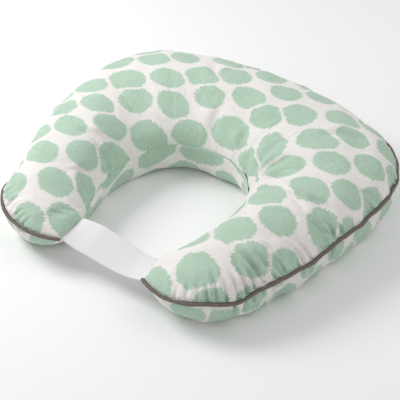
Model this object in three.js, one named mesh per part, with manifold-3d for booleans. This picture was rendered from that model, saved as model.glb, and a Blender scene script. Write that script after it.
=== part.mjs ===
// A C-shaped nursing pillow: a zipped print cover with a piped outer seam, a stuffed inner pillow, and
// an elastic waist band sewn between the two tips. Millimetres, +Z up, the opening of the C faces -Y.
import * as THREE from "three";
import { mergeVertices } from "three/addons/utils/BufferGeometryUtils.js";
import Module from "manifold-3d";

// ---- Driving dimensions (mm and degrees) ----

// Right half of the outer seam, as arcs that follow on from each other from the centre of the back.
const backArc = { radius: 498, turn: 24.4 };
const shoulderArc = { radius: 126.5, turn: 64.4 };
const flankArc = { radius: 703, turn: 24.3 };
const armArc = { radius: 104.5, turn: 73.2 };
const tipArc = { radius: 89, turn: 27.2 };
// Inner seam, a curve from the back of the waist opening to the tip.
const backThickness = 206.7; // outer seam to inner seam across the back
const innerBackHandle = 113;
const innerTipHandle = 134.7;
const innerTipHeading = 117; // degrees the inner seam has turned through at the tip
const tipLean = 4; // the tip seam leans this far from straight fore and aft

const seamHeight = 75; // outer seam above the floor, at the back
const tipSeamFall = 25; // how far the seam has dropped at the tips
const flankSeamDip = 5; // extra dip of the seam in front of the shoulder
const innerSeamFall = 13.5; // inner seam below the outer seam
const crownRise = 54.7; // highest stuffing above the seam
const bellyDrop = 83; // unsupported depth below the seam, pressed flat by the floor
const tipTaper = 328; // length over which an arm tapers to its tip

const clothThickness = 0.8; // print cotton
const linerThickness = 0.6;
const clearance = 0.3; // between pieces that touch
const innerPillowSlack = 1.5; // extra room round the sides of the inner pillow

const pipingCordRadius = 1.6;
const pipingTapeThickness = 0.5;
const pipingFlange = 7; // how far the piping's flange turns down inside the cover

const bandWidth = 48;
const bandThickness = 1;
const bandSag = 7;
const bandSewIn = 8.3; // length of band inside the tip seam

const zipDrop = 20.5; // zip centre below the outer seam
const zipOpeningLength = 352.16; // along the back arc
const zipOpeningHeight = 10;
const zipRecess = 1.5; // zip panel edge inside the outer seam
const zipTapeWidth = 11;
const zipTapeThickness = 0.6;
const zipTapeOverrun = 8; // tape beyond each end of the opening
const zipCoilWidth = 1.8;
const zipCoilThickness = 1.2;
const zipCoilGap = 1.6; // between the two coils, where the slider's post runs
const zipStopLength = 3;
const sliderLength = 8;
const sliderWall = 0.9;
const sliderPostThickness = 1;
const sliderPostLength = 2.5;
const sliderRimWidth = 0.7;
const lugHoleLength = 3.2;
const lugHoleHeight = 3;
const lugBar = 0.9;
const lugWidth = 1.6;
const pullLength = 24;
const pullWidth = 7;
const pullThickness = 1.2;
const pullPinRadius = 0.8;
const pullArmWidth = 1;

const labelWidth = 30;
const labelDrop = 22;
const labelThickness = 0.5;
const labelStart = 228; // along the seam from the back centre

const backSteps = 6; // grid steps from the back centre to the end of the zip opening
const sideSteps = 18; // grid steps from there to the tip
const crossSteps = 9; // grid steps from the inner seam to the outer seam

// ---- Sizes worked out from them ----

const outerArcs = [backArc, shoulderArc, flankArc, armArc, tipArc];
const outerLength = outerArcs.reduce((sum, arc) => sum + arcLength(arc), 0);
const tipOuter = alongOuterSeam(outerLength).point;
const bandEdgeRoom = 0.5;
const tipSeamWidth = bandWidth + 2 * bandEdgeRoom;
const leanAngle = THREE.MathUtils.degToRad(tipLean);
const tipInner = new THREE.Vector2(-Math.sin(leanAngle), Math.cos(leanAngle))
  .multiplyScalar(tipSeamWidth)
  .add(tipOuter);
const innerSeam = innerSeamCurve();

const pipingRingInside = pipingCordRadius + clearance;
const pipingRingRadius = pipingRingInside + pipingTapeThickness;
const pipingOut = pipingRingRadius + clearance; // cord centre outside the seam
const outerSeamGap = pipingTapeThickness + clearance; // half the gap that the flange and band pass through
const innerSeamGap = clearance / 2;

const bandShare = 1 - bandSewIn / outerLength; // share of the seam where the sewn-in band ends
const pipingShare = 1 - (1.5 * bandSewIn) / outerLength;
const innerPillowShare = 1 - (2.5 * bandSewIn) / outerLength;

const zipHalf = zipOpeningLength / 2;
const openingTop = zipDrop - zipOpeningHeight / 2;
const openingBottom = zipDrop + zipOpeningHeight / 2;
const zipHeight = seamHeight - zipDrop;

// The cover and what is inside it, as distances inside the outer face of the cover.
const coverOutside = { plan: 0, rise: 0, share: 1, gap: outerSeamGap };
const coverInside = { plan: clothThickness, rise: clothThickness, share: 1, gap: outerSeamGap };
const linerRise = clothThickness + clearance;
const linerPlan = linerRise + innerPillowSlack;
const linerOutside = { plan: linerPlan, rise: linerRise, share: innerPillowShare, gap: innerSeamGap };
const linerInside = {
  plan: linerPlan + linerThickness,
  rise: linerRise + linerThickness,
  share: innerPillowShare,
  gap: innerSeamGap,
};
const fillOutside = {
  plan: linerPlan + linerThickness + clearance,
  rise: linerRise + linerThickness + clearance,
  share: innerPillowShare,
  gap: 0,
};

// ---- The two seams in plan ----

function arcLength(arc) {
  return arc.radius * THREE.MathUtils.degToRad(arc.turn);
}

// The place and the inward direction at a distance along the outer seam, which is negative on the left.
function alongOuterSeam(distance) {
  const side = distance < 0 ? -1 : 1;
  const point = new THREE.Vector2(0, 0);
  let left = Math.abs(distance);
  let heading = 0;
  for (const arc of outerArcs) {
    const turn = Math.min(left, arcLength(arc)) / arc.radius;
    const next = heading - turn;
    point.x += arc.radius * (Math.sin(heading) - Math.sin(next));
    point.y += arc.radius * (Math.cos(next) - Math.cos(heading));
    left = Math.max(0, left - arcLength(arc));
    heading = next;
  }
  const inward = new THREE.Vector2(side * Math.sin(heading), -Math.cos(heading));
  return { point: new THREE.Vector2(side * point.x, point.y), inward };
}

// The right half of the inner seam, from the back of the opening to the tip.
function innerSeamCurve() {
  const heading = THREE.MathUtils.degToRad(-innerTipHeading);
  const start = new THREE.Vector2(0, -backThickness);
  const startHandle = new THREE.Vector2(innerBackHandle, -backThickness);
  const endHandle = new THREE.Vector2(Math.cos(heading), Math.sin(heading))
    .multiplyScalar(-innerTipHandle)
    .add(tipInner);
  return new THREE.CubicBezierCurve(start, startHandle, endHandle, tipInner);
}

// The place on the inner seam at a share of its length, and the direction into the pillow there.
function alongInnerSeam(share, side) {
  const point = innerSeam.getPointAt(share);
  const tangent = innerSeam.getTangentAt(share);
  const inward = new THREE.Vector2(-tangent.y * side, tangent.x);
  return { point: new THREE.Vector2(side * point.x, point.y), inward };
}

// ---- The pillow's surface ----

// Outer seam height at a share of the way from the back to a tip: level along the zip, then falling.
function outerSeamHeight(share) {
  const level = arcLength(backArc) / outerLength;
  const along = Math.max(0, (share - level) / (1 - level));
  const dip = Math.sin(Math.PI * Math.min(1, along / 0.45)) ** 2;
  return seamHeight - tipSeamFall * along ** 1.2 - flankSeamDip * dip;
}

// Height of the surface through both seams, at share v of the way from the inner seam to the outer.
function seamSurfaceHeight(share, v) {
  const fall = innerSeamFall * (1 - share ** 4) * (1 - v);
  return outerSeamHeight(share) - fall;
}

// Fullness of an arm at a share of the seam: full along the back and closing in a rounded end.
function armFullness(share, end) {
  const left = Math.min(1, Math.max(0, (end - share) * (outerLength / tipTaper)));
  return Math.sqrt(1 - (1 - left) ** 1.61);
}

function crownFullness(v) {
  const across = Math.abs(2 * v ** 0.84 - 1);
  return (1 - across ** 1.8) ** (1 / 1.84);
}

function bellyFullness(v) {
  const across = Math.abs(2 * v - 1);
  return (1 - across ** 2.95) ** (1 / 2.4);
}

// Half the gap left in the seam: narrow along the inner seam, wider for the piping and the band.
function seamGap(layer, share, v) {
  const towardsTip = THREE.MathUtils.smoothstep(share, pipingShare - 0.02, pipingShare);
  const width = Math.max(v, towardsTip);
  return Math.min(layer.gap, innerSeamGap) + Math.max(0, layer.gap - innerSeamGap) * width;
}

// A point of a layer's top or bottom skin. Station is a distance along the outer seam.
function skinPoint(layer, station, row, isTop) {
  const share = Math.abs(station) / outerLength;
  const side = station < 0 ? -1 : 1;
  const outer = alongOuterSeam(station);
  const inner = alongInnerSeam(share, side);
  outer.point.addScaledVector(outer.inward, layer.plan);
  inner.point.addScaledVector(inner.inward, layer.plan);
  const fullness = armFullness(share, layer.share);
  if (row.drop !== undefined) {
    const place = outer.point.addScaledVector(outer.inward, row.recess * fullness);
    const top = outerSeamHeight(share) - layer.gap;
    return new THREE.Vector3(place.x, place.y, Math.max(top - row.drop * fullness, layer.rise));
  }
  const place = inner.point.lerp(outer.point, row.v);
  const middle = seamSurfaceHeight(share, row.v);
  const gap = seamGap(layer, share, row.v);
  const crown = middle + gap + (crownRise - layer.rise) * fullness * crownFullness(row.v);
  const belly = middle - gap - (bellyDrop - layer.rise) * fullness * bellyFullness(row.v);
  return new THREE.Vector3(place.x, place.y, isTop ? crown : Math.max(belly, layer.rise));
}

// Stations along the outer seam, closer together towards the tips, up to where a layer ends.
function stationsFor(endShare) {
  const right = [];
  for (let i = 1; i <= backSteps; i++) {
    right.push((zipHalf * i) / backSteps);
  }
  const rest = innerPillowShare * outerLength - zipHalf;
  for (let i = 1; i <= sideSteps; i++) {
    const part = i / sideSteps;
    right.push(zipHalf + rest * part * (1.15 - 0.15 * part));
  }
  for (const share of [pipingShare, bandShare, 1]) {
    if (share <= endShare) {
      right.push(share * outerLength);
    }
  }
  const left = right.map((station) => -station).reverse();
  return [...left, 0, ...right];
}

function crossRows() {
  const rows = [];
  for (let j = 0; j <= crossSteps; j++) {
    rows.push({ v: (1 - Math.cos((Math.PI * j) / crossSteps)) / 2 });
  }
  return rows;
}

// The bottom of the cover has two more rows, at the edges of the zip opening.
function coverBottomRows() {
  const rows = crossRows();
  const openingRows = [openingBottom, openingTop].map((drop) => ({
    drop: drop - outerSeamGap,
    recess: zipRecess,
  }));
  rows.splice(crossSteps, 0, ...openingRows);
  return rows;
}

function skinGrid(layer, rows, isTop) {
  return stationsFor(layer.share).map((station) =>
    rows.map((row) => skinPoint(layer, station, row, isTop)),
  );
}

// ---- Closed solids from grids and sections ----

function triangleArea(a, b, c) {
  return new THREE.Triangle(a, b, c).getArea();
}

// Makes a geometry from triangles of points, dropping those with no area and turning it to face out.
function solidFrom(triangles) {
  const kept = triangles.filter((corners) => triangleArea(...corners) > 1e-6);
  const volume = kept.reduce((sum, [a, b, c]) => sum + a.dot(b.clone().cross(c)), 0);
  const facing = volume < 0 ? kept.map(([a, b, c]) => [a, c, b]) : kept;
  const geometry = new THREE.BufferGeometry().setFromPoints(facing.flat());
  const merged = mergeVertices(geometry, 1e-4);
  merged.computeVertexNormals();
  return merged;
}

function quad(a, b, c, d) {
  return [
    [a, b, c],
    [a, c, d],
  ];
}

// One closed wall between an outer and an inner grid, open where isOpen says that a cell is left out.
function wallBetween(outer, inner, isOpen = () => false) {
  const columns = outer.length - 1;
  const rows = outer[0].length - 1;
  const solidCell = (i, j) => i >= 0 && j >= 0 && i < columns && j < rows && !isOpen(i, j);
  const triangles = [];
  for (let i = 0; i < columns; i++) {
    for (let j = 0; j < rows; j++) {
      if (!solidCell(i, j)) {
        continue;
      }
      const ring = [
        [i, j],
        [i + 1, j],
        [i + 1, j + 1],
        [i, j + 1],
      ];
      const beyond = [
        [i, j - 1],
        [i + 1, j],
        [i, j + 1],
        [i - 1, j],
      ];
      const [a, b, c, d] = ring.map(([m, n]) => outer[m][n]);
      const [e, f, g, h] = ring.map(([m, n]) => inner[m][n]);
      triangles.push(...quad(a, b, c, d), [e, g, f], [e, h, g]);
      beyond.forEach(([m, n], k) => {
        if (solidCell(m, n)) {
          return;
        }
        const [p, q] = ring[k];
        const [r, s] = ring[(k + 1) % ring.length];
        triangles.push(...quad(outer[p][q], inner[p][q], inner[r][s], outer[r][s]));
      });
    }
  }
  return solidFrom(triangles);
}

// One closed solid carried along the outer seam. sectionAt gives the outline and any hole at a station,
// in points of distance inside the seam and height above it.
function carriedAlongSeam(stations, sectionAt) {
  const rings = stations.map((station) => {
    const { point, inward } = alongOuterSeam(station);
    const level = outerSeamHeight(Math.abs(station) / outerLength);
    const place = (p) =>
      new THREE.Vector3(point.x + inward.x * p.x, point.y + inward.y * p.x, level + p.y);
    return sectionAt(station).map((contour) => contour.map(place));
  });
  const triangles = [];
  for (let i = 1; i < rings.length; i++) {
    rings[i].forEach((contour, c) => {
      contour.forEach((corner, k) => {
        const next = (k + 1) % contour.length;
        const before = rings[i - 1][c];
        triangles.push(...quad(before[k], corner, contour[next], before[next]));
      });
    });
  }
  for (const [ring, station, isStart] of [
    [rings[0], stations[0], true],
    [rings.at(-1), stations.at(-1), false],
  ]) {
    const [outline, ...holes] = sectionAt(station);
    const corners = ring.flat();
    for (const [a, b, c] of THREE.ShapeUtils.triangulateShape(outline, holes)) {
      const face = [corners[a], corners[b], corners[c]];
      triangles.push(isStart ? face : face.reverse());
    }
  }
  return solidFrom(triangles);
}

// An outline through the given points, run anticlockwise.
function polygon(...points) {
  const outline = points.map(([x, y]) => new THREE.Vector2(x, y));
  return THREE.ShapeUtils.isClockWise(outline) ? outline.reverse() : outline;
}

function circlePoints(centre, radius, from, to, steps) {
  const points = [];
  for (let i = 0; i <= steps; i++) {
    const angle = from + ((to - from) * i) / steps;
    points.push(new THREE.Vector2(centre + radius * Math.cos(angle), radius * Math.sin(angle)));
  }
  return points;
}

function evenStations(from, to, steps) {
  return Array.from({ length: steps + 1 }, (_, i) => from + ((to - from) * i) / steps);
}

// ---- Materials ----

const printCotton = new THREE.MeshStandardMaterial({ color: 0xd5e0d5, roughness: 0.9, metalness: 0 });
const taupeTape = new THREE.MeshStandardMaterial({ color: 0x796f67, roughness: 0.85, metalness: 0 });
const whiteCord = new THREE.MeshStandardMaterial({ color: 0xe8e4da, roughness: 0.95, metalness: 0 });
const whiteElastic = new THREE.MeshStandardMaterial({ color: 0xecebec, roughness: 0.8, metalness: 0 });
const linerCotton = new THREE.MeshStandardMaterial({ color: 0xefece4, roughness: 0.95, metalness: 0 });
const fibre = new THREE.MeshStandardMaterial({ color: 0xf6f6f4, roughness: 1, metalness: 0 });
const zipPolyester = new THREE.MeshStandardMaterial({ color: 0xe6e3dc, roughness: 0.7, metalness: 0 });
const zipNylon = new THREE.MeshStandardMaterial({ color: 0xdedbd4, roughness: 0.45, metalness: 0 });
const zipMetal = new THREE.MeshStandardMaterial({ color: 0xb9bbbd, roughness: 0.35, metalness: 0.9 });
const labelSatin = new THREE.MeshStandardMaterial({ color: 0xf4f3f0, roughness: 0.6, metalness: 0 });

const pillow = new THREE.Group();
const assembly = new THREE.Group();

function addPart(name, geometry, material, parent = assembly) {
  const mesh = new THREE.Mesh(geometry, material);
  mesh.name = name;
  parent.add(mesh);
  return mesh;
}

// ---- Cover, liner and filling ----

function isZipOpening(column, row) {
  const middle = stationsFor(1).indexOf(0);
  return Math.abs(column + 0.5 - middle) < backSteps && row === crossSteps;
}

function addCover() {
  const rows = crossRows();
  const bottomRows = coverBottomRows();
  addPart(
    "cover_top_panel",
    wallBetween(skinGrid(coverOutside, rows, true), skinGrid(coverInside, rows, true)),
    printCotton,
  );
  const bottomOutside = skinGrid(coverOutside, bottomRows, false);
  const bottomInside = skinGrid(coverInside, bottomRows, false);
  addPart("cover_bottom_panel", wallBetween(bottomOutside, bottomInside, isZipOpening), printCotton);
}

function addInnerPillow() {
  const rows = crossRows();
  for (const [name, isTop] of [
    ["liner_top_panel", true],
    ["liner_bottom_panel", false],
  ]) {
    const outside = skinGrid(linerOutside, rows, isTop);
    const inside = skinGrid(linerInside, rows, isTop);
    addPart(name, wallBetween(outside, inside), linerCotton);
  }
  const crown = skinGrid(fillOutside, rows, true);
  const belly = skinGrid(fillOutside, rows, false);
  addPart("fibre_filling", wallBetween(crown, belly), fibre);
}

// ---- Piping ----

// A tape folded round the cord, whose two edges lie together in the seam and turn down inside the cover.
function pipingTapeSection(station) {
  const fullness = armFullness(Math.abs(station) / outerLength, 1);
  const half = pipingTapeThickness;
  const opening = Math.asin(half / pipingRingRadius);
  const ring = circlePoints(-pipingOut, pipingRingRadius, opening, 2 * Math.PI - opening, 8);
  const legOutside = clothThickness + 3 * clearance;
  const legInside = legOutside + pipingTapeThickness;
  const foot = -half - pipingFlange * fullness;
  const flange = polygon([legOutside, -half], [legOutside, foot], [legInside, foot], [legInside, half]);
  const hole = circlePoints(-pipingOut, pipingRingInside, 0, (-5 * Math.PI) / 3, 5);
  return [[...ring, ...flange], hole];
}

function pipingCordSection() {
  return [circlePoints(-pipingOut, pipingCordRadius, 0, (5 * Math.PI) / 3, 5)];
}

function addPiping() {
  const stations = stationsFor(pipingShare);
  addPart("piping_tape", carriedAlongSeam(stations, pipingTapeSection), taupeTape);
  addPart("piping_cord", carriedAlongSeam(stations, pipingCordSection), whiteCord);
}

// ---- Waist band ----

// The band runs straight from tip to tip, hangs a little between them, and ends inside both tip seams.
function addWaistBand() {
  const edges = [tipOuter, tipInner];
  const tucked = [
    skinPoint(coverOutside, bandShare * outerLength, { v: 1 }, true),
    skinPoint(coverOutside, bandShare * outerLength, { v: 0 }, true),
  ];
  const level = outerSeamHeight(1);
  const spanSteps = 14;
  const outline = (edge, towards) => {
    const tip = edges[edge];
    const direction = edge === 0 ? 1 : -1;
    const end = new THREE.Vector2(tucked[edge].x, tip.y + direction * bandEdgeRoom);
    const free = evenStations(-tip.x, tip.x, spanSteps);
    const along = [-end.x, ...free, end.x];
    return along.map((x) => {
      const swing = Math.min(1, Math.abs(x) / tip.x);
      const hang = bandSag * Math.cos((Math.PI / 2) * swing) ** 2;
      return new THREE.Vector3(x, end.y, level - hang + (towards * bandThickness) / 2);
    });
  };
  const face = (towards) => {
    const front = outline(0, towards);
    const back = outline(1, towards);
    return front.map((point, i) => [point, back[i]]);
  };
  addPart("waist_band", wallBetween(face(1), face(-1)), whiteElastic);
}

// ---- Zip ----

const tapeDepth = clothThickness + clearance + 0.2; // front of the tape inside the cover's outer face
const coilFront = zipRecess + tapeDepth - clearance - zipCoilThickness;

// How far the cover's bottom panel lies inside the seam at a drop below it, along the back.
function panelRecess(drop) {
  const belowSeam = openingTop;
  const nextRow = crossRows()[crossSteps - 1].v;
  const lowerDrop = bellyDrop * bellyFullness(nextRow);
  const lowerRecess = (1 - nextRow) * backThickness;
  if (drop < openingTop) {
    return (zipRecess * drop) / belowSeam;
  }
  const below = Math.max(0, drop - openingBottom) / (lowerDrop - openingBottom);
  return zipRecess + (lowerRecess - zipRecess) * below;
}

// One zip tape: its front face follows the back of the cover panel from the coil outwards.
function zipTapeSection(side) {
  const near = zipDrop + (side * zipCoilGap) / 2;
  const edge = zipDrop + (side * zipOpeningHeight) / 2;
  const far = near + side * zipTapeWidth;
  const front = [near, edge, far].map((drop) => [panelRecess(drop) + tapeDepth, -drop]);
  const back = front.map(([recess, height]) => [recess + zipTapeThickness, height]).reverse();
  return [polygon(...front, ...back)];
}

function zipCoilSection(side) {
  const near = -zipDrop - (side * zipCoilGap) / 2;
  const far = near - side * zipCoilWidth;
  const back = coilFront + zipCoilThickness;
  return [polygon([coilFront, near], [back, near], [back, far], [coilFront, far])];
}

// A box given by its limits along the zip, outwards from the seam, and up.
function boxBetween(x, y, z) {
  const geometry = new THREE.BoxGeometry(x[1] - x[0], y[1] - y[0], z[1] - z[0]);
  return geometry.translate((x[0] + x[1]) / 2, (y[0] + y[1]) / 2, (z[0] + z[1]) / 2);
}

const manifold = await Module();
manifold.setup();

// Joins closed geometries into one.
function joined(...geometries) {
  const solids = geometries.map((geometry) => {
    const bare = geometry.clone();
    bare.deleteAttribute("normal");
    bare.deleteAttribute("uv");
    const merged = mergeVertices(bare, 1e-4);
    const triVerts = new Uint32Array(merged.index.array);
    const vertProperties = merged.attributes.position.array;
    return new manifold.Manifold(new manifold.Mesh({ numProp: 3, vertProperties, triVerts }));
  });
  const mesh = solids.reduce((sum, solid) => sum.add(solid)).getMesh();
  const geometry = new THREE.BufferGeometry();
  geometry.setAttribute("position", new THREE.BufferAttribute(mesh.vertProperties, 3));
  geometry.setIndex(new THREE.BufferAttribute(mesh.triVerts, 1));
  geometry.computeVertexNormals();
  return geometry;
}

// The slider's own frame: x along the zip, y outwards, with y = 0 at the outer seam, z up from the zip.
const sliderFront = -coilFront + clearance;
const sliderFace = sliderFront + sliderWall;
const sliderHalfWidth = zipCoilGap / 2 + zipCoilWidth + clearance + sliderRimWidth;
const tapeBack = zipRecess + tapeDepth + zipTapeThickness;
const pinHeight = sliderFace + lugHoleHeight / 2;

function sliderGeometry() {
  const half = sliderLength / 2;
  const backFace = -tapeBack - clearance;
  const rimBack = -(zipRecess + tapeDepth) + clearance;
  const lugTop = sliderFace + lugHoleHeight + lugBar;
  const lugEnd = lugHoleLength / 2 + lugBar;
  const rims = [-1, 1].map((side) => {
    const limits = [side * sliderHalfWidth, side * (sliderHalfWidth - sliderRimWidth)];
    return boxBetween([-half, half], [rimBack, sliderFront + 0.1], limits.sort((a, b) => a - b));
  });
  const posts = [-1, 1].map((side) => {
    const limits = [side * lugEnd, side * (lugEnd - lugBar)].sort((a, b) => a - b);
    return boxBetween(limits, [sliderFront + 0.1, lugTop], [-lugWidth / 2, lugWidth / 2]);
  });
  return joined(
    boxBetween([-half, half], [sliderFront, sliderFace], [-sliderHalfWidth, sliderHalfWidth]),
    boxBetween([-half, half], [backFace - sliderWall, backFace], [-sliderHalfWidth, sliderHalfWidth]),
    boxBetween(
      [half - sliderPostLength, half],
      [backFace - 0.1, sliderFront + 0.1],
      [-sliderPostThickness / 2, sliderPostThickness / 2],
    ),
    ...rims,
    ...posts,
    boxBetween([-lugEnd, lugEnd], [lugTop - lugBar, lugTop], [-lugWidth / 2, lugWidth / 2]),
  );
}

// The pull lies back along the closed zip: a pin through the lug, two arms and a flat tab.
function pullGeometry() {
  const armStart = lugWidth / 2 + 0.4;
  const armEnd = armStart + pullArmWidth;
  const lugEnd = lugHoleLength / 2 + lugBar;
  const tabStart = -Math.hypot(lugEnd, lugHoleHeight / 2 + lugBar) - 1;
  const thickness = [-pullThickness / 2, pullThickness / 2];
  const arms = [-1, 1].map((side) => {
    const limits = [side * armStart, side * armEnd].sort((a, b) => a - b);
    return boxBetween([tabStart - 1, pullPinRadius], thickness, limits);
  });
  const pin = new THREE.CylinderGeometry(pullPinRadius, pullPinRadius, 2 * armEnd - 0.4, 10);
  pin.rotateX(Math.PI / 2);
  const outline = new THREE.Shape();
  const corner = 2;
  outline.moveTo(tabStart, -armEnd);
  outline.lineTo(tabStart, armEnd);
  outline.lineTo(tabStart - 2, pullWidth / 2);
  outline.lineTo(-pullLength + corner, pullWidth / 2);
  outline.lineTo(-pullLength, pullWidth / 2 - corner);
  outline.lineTo(-pullLength, corner - pullWidth / 2);
  outline.lineTo(-pullLength + corner, -pullWidth / 2);
  outline.lineTo(tabStart - 2, -pullWidth / 2);
  const tab = new THREE.ExtrudeGeometry(outline, { depth: pullThickness, bevelEnabled: false });
  tab.translate(0, 0, -pullThickness / 2).rotateX(Math.PI / 2);
  return joined(...arms, pin, tab);
}

function addZip() {
  const tapeEnd = zipHalf + zipTapeOverrun;
  const coilEnd = zipHalf - clearance;
  for (const [name, side] of [
    ["upper", -1],
    ["lower", 1],
  ]) {
    const tape = carriedAlongSeam(evenStations(-tapeEnd, tapeEnd, 24), () => zipTapeSection(side));
    addPart("zip_" + name + "_tape", tape, zipPolyester);
    const coil = carriedAlongSeam(evenStations(-coilEnd, coilEnd, 24), () => zipCoilSection(side));
    addPart("zip_" + name + "_coil", coil, zipNylon);
    const stopPlace = boxBetween(
      [-zipStopLength / 2, zipStopLength / 2],
      [sliderFront, sliderFront + zipCoilThickness],
      [-side * (zipCoilGap / 2 + zipCoilWidth), (-side * zipCoilGap) / 2].sort((a, b) => a - b),
    );
    const stop = addPart("zip_top_stop_" + name, stopPlace, zipMetal, new THREE.Group());
    placeOnZip(stop, zipHalf - zipStopLength);
  }
  const bottomStop = boxBetween(
    [-zipStopLength / 2, zipStopLength / 2],
    [sliderFront, sliderFront + zipCoilThickness],
    [-zipCoilGap / 2 - zipCoilWidth, zipCoilGap / 2 + zipCoilWidth],
  );
  placeOnZip(addPart("zip_bottom_stop", bottomStop, zipMetal, new THREE.Group()), -zipHalf + zipStopLength);

  const sliderRest = zipHalf - 1.5 * zipStopLength - clearance - sliderLength / 2;
  placeOnZip(addPart("zip_slider", sliderGeometry(), zipMetal, new THREE.Group()), sliderRest);
  const pull = addPart("zip_pull", pullGeometry(), zipMetal, new THREE.Group());
  pull.position.y = pinHeight;
  placeOnZip(pull, sliderRest);
}

// Puts a part's group at a distance along the back arc, turned square to it, at the height of the zip.
function placeOnZip(part, station) {
  const turning = new THREE.Group();
  turning.position.set(0, -backArc.radius, zipHeight);
  turning.rotation.z = -station / backArc.radius;
  const holder = part.parent;
  holder.position.y = backArc.radius;
  turning.add(holder);
  assembly.add(turning);
}

// ---- Care label ----

// A blank tab that hangs from under the piping, against the outside of the bottom panel.
function addCareLabel() {
  const front = (station, drop, out) => {
    const { point, inward } = alongOuterSeam(-station);
    const level = outerSeamHeight(station / outerLength);
    const depth = panelRecess(drop) - out;
    const x = point.x + inward.x * depth;
    const y = point.y + inward.y * depth;
    return new THREE.Vector3(x, y, level - drop);
  };
  const top = pipingRingRadius + 2 * clearance;
  const grid = (out) =>
    evenStations(labelStart, labelStart + labelWidth, 6).map((station) =>
      [top, openingTop, top + labelDrop].map((drop) => front(station, drop, out)),
    );
  addPart("care_label", wallBetween(grid(clearance + labelThickness), grid(clearance)), labelSatin);
}

addCover();
addInnerPillow();
addPiping();
addWaistBand();
addZip();
addCareLabel();

// The origin is under the middle of the pillow, on the floor.
const frontEdge = Math.min(
  ...evenStations(0, outerLength, 400).map((station) => alongOuterSeam(station).point.y),
);
assembly.position.y = -frontEdge / 2;
pillow.add(assembly);

export default pillow;
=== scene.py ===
# A C-shaped nursing pillow: print cover, piping, elastic waist band and a zip at the back.
import math
import bmesh
import bpy
import mathutils
import numpy as np
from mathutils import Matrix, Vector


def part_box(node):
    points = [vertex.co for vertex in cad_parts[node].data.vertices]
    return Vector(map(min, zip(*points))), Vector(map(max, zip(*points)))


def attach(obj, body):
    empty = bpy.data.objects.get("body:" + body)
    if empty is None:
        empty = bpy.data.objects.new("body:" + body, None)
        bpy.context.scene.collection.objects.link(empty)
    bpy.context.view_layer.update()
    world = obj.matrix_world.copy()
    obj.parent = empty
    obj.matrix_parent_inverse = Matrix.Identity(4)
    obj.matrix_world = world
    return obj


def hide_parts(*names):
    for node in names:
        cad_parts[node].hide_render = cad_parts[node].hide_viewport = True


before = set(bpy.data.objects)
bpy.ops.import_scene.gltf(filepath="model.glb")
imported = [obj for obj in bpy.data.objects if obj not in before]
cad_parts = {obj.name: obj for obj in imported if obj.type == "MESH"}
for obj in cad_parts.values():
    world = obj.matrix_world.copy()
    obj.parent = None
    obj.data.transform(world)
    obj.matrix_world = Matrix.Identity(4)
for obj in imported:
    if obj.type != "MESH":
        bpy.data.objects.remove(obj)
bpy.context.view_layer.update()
scene = bpy.context.scene

# Outline of the two seams, in metres and degrees.

outline = {
    "arcs": ((0.498, 24.4), (0.1265, 64.4), (0.703, 24.3), (0.1045, 73.2), (0.089, 27.2)),
    "backThickness": 0.2067,
    "innerBackHandle": 0.113,
    "innerTipHandle": 0.1347,
    "innerTipHeading": 117,
    "tipLean": 4,
    "tipSeam": 0.049,
    "seamHeight": 0.075,
    "tipSeamFall": 0.025,
    "flankSeamDip": 0.005,
    "innerSeamFall": 0.0135,
    "crownRise": 0.0547,
    "bellyDrop": 0.083,
    "tipTaper": 0.328,
}
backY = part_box("cover_top_panel")[1].y
outerLength = sum(radius * math.radians(turn) for radius, turn in outline["arcs"])
levelShare = outline["arcs"][0][0] * math.radians(outline["arcs"][0][1]) / outerLength


# Runs round the arcs in turn and gives the place and the inward direction at signed distances.
def outerSeam(distance):
    left = np.abs(distance)
    heading = np.zeros_like(left)
    x = np.zeros_like(left)
    y = np.zeros_like(left)
    for radius, turn in outline["arcs"]:
        step = np.minimum(left, radius * math.radians(turn)) / radius
        x += radius * (np.sin(heading) - np.sin(heading - step))
        y += radius * (np.cos(heading - step) - np.cos(heading))
        left = left - step * radius
        heading = heading - step
    side = np.where(distance < 0, -1.0, 1.0)
    return np.stack([side * x, y + backY], -1), np.stack([side * np.sin(heading), -np.cos(heading)], -1)


# A cubic curve from the back of the opening to the tip, read at equal shares of its length.
def innerSeam(share, side):
    tipOut = outerSeam(np.array([outerLength]))[0][0]
    lean = math.radians(outline["tipLean"])
    tipIn = tipOut + outline["tipSeam"] * np.array([-math.sin(lean), math.cos(lean)])
    heading = math.radians(-outline["innerTipHeading"])
    start = np.array([0.0, backY - outline["backThickness"]])
    nearStart = start + np.array([outline["innerBackHandle"], 0.0])
    nearEnd = tipIn - outline["innerTipHandle"] * np.array([math.cos(heading), math.sin(heading)])
    t = np.linspace(0, 1, 600)[:, None]
    curve = (1 - t) ** 3 * start + 3 * (1 - t) ** 2 * t * nearStart
    curve = curve + 3 * (1 - t) * t ** 2 * nearEnd + t ** 3 * tipIn
    run = np.concatenate([[0], np.cumsum(np.hypot(*np.diff(curve, axis=0).T))])
    x = np.interp(share * run[-1], run, curve[:, 0])
    y = np.interp(share * run[-1], run, curve[:, 1])
    return np.stack([side * x, y], -1)


# Height of the outer seam: level along the zip, then a power curve down to the tip with one shallow dip.
def seamLevel(share):
    along = np.clip((share - levelShare) / (1 - levelShare), 0, 1)
    dip = np.sin(np.pi * np.minimum(1, along / 0.45)) ** 2
    return outline["seamHeight"] - outline["tipSeamFall"] * along ** 1.2 - outline["flankSeamDip"] * dip


def surfaceLevel(share, v):  # straight across from the lower inner seam to the outer seam
    return seamLevel(share) - outline["innerSeamFall"] * (1 - share ** 4) * (1 - v)


def armFullness(share):  # one along the back, closing to nothing at the tip in a rounded end
    left = np.clip((1 - share) * outerLength / outline["tipTaper"], 0, 1)
    return np.sqrt(1 - (1 - left) ** 1.61)


def crownFullness(v):  # a squared-off arch between the seams
    return (1 - np.abs(2 * v ** 0.84 - 1) ** 1.8) ** (1 / 1.84)


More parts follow.
